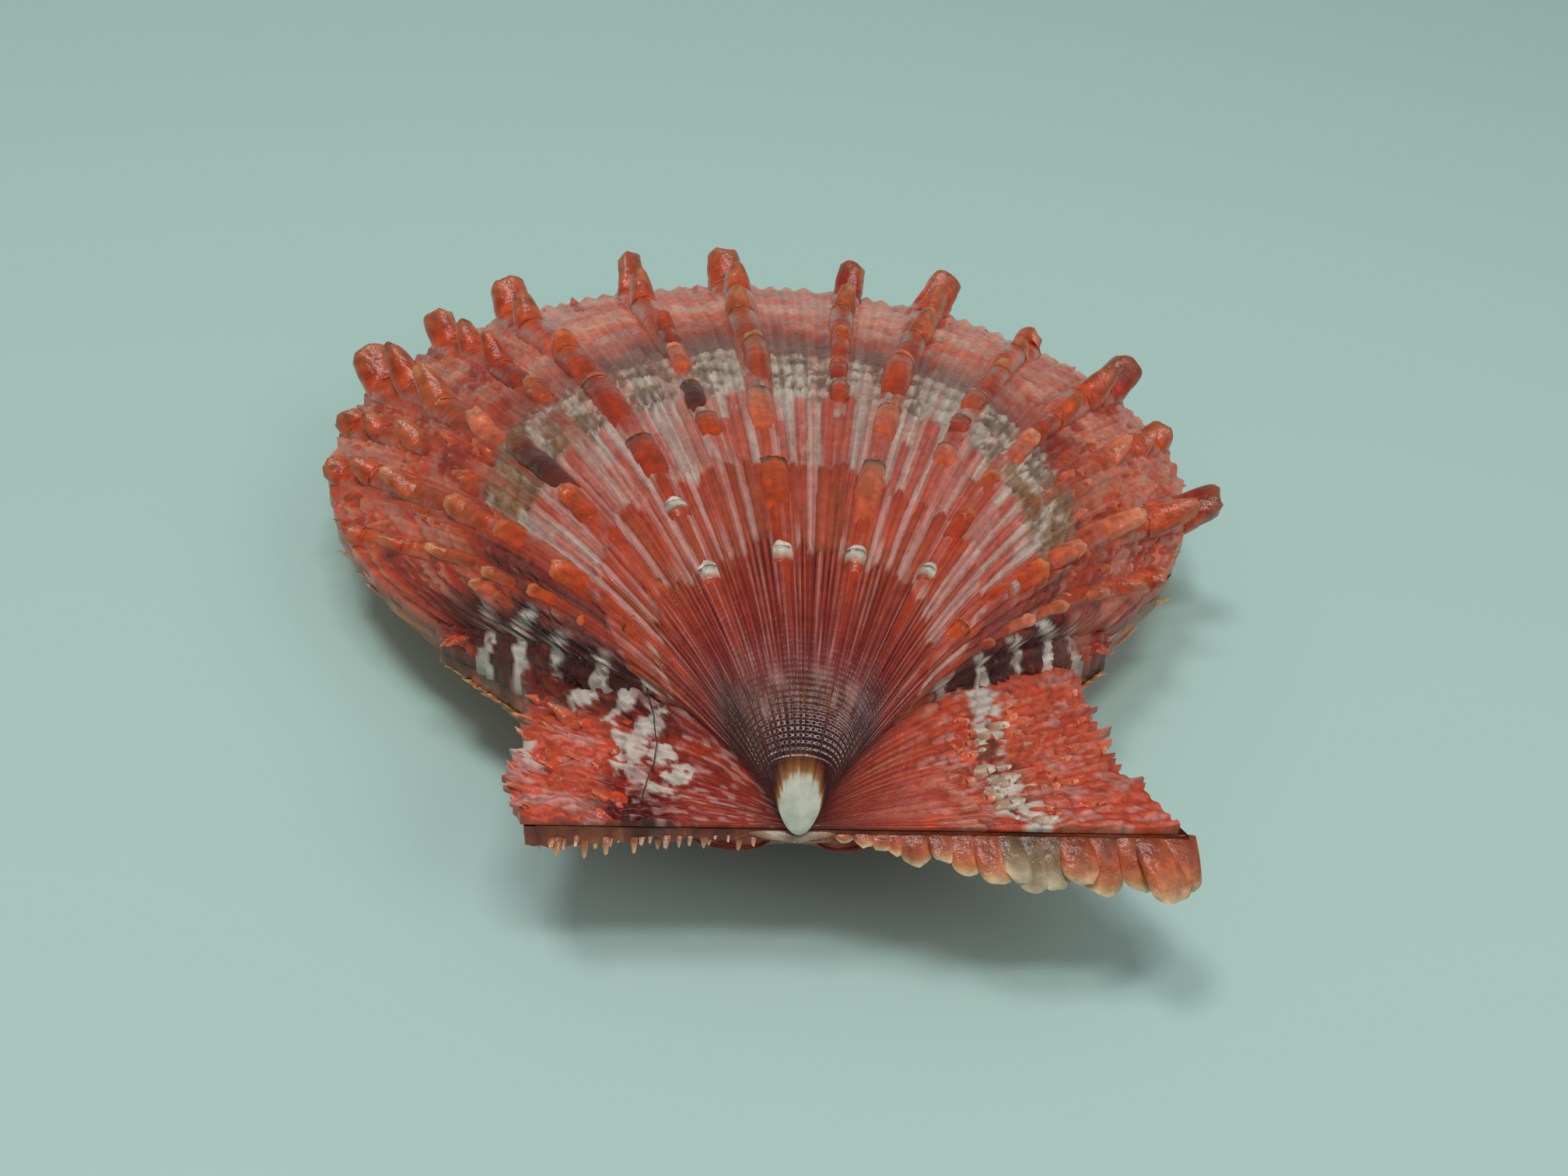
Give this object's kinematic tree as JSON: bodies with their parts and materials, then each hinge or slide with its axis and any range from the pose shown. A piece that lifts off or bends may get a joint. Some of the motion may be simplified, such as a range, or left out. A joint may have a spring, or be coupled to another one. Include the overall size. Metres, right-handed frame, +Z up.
{
  "type": "scallop shell",
  "caption": "Closed spiny scallop shell with a ribbed upper valve, vaulted scales on its ribs, spines round the margin and unequal ears, lying on its flatter lower valve.",
  "frame": {"origin": "on the floor under the middle of the outline, with the shell lying on its lower valve", "axes": "+Z up, through the thickness of the closed shell; +Y from the hinge towards the spiny margin; +X along the hinge towards the longer ear"},
  "size_m": [0.037, 0.042, 0.0115],
  "materials": {
    "upper_shell": "glossy",
    "lower_shell": "glossy"
  },
  "bodies": {
    "root": {"upper_valve": "upper_shell", "lower_valve": "lower_shell"}
  },
  "joints": []
}
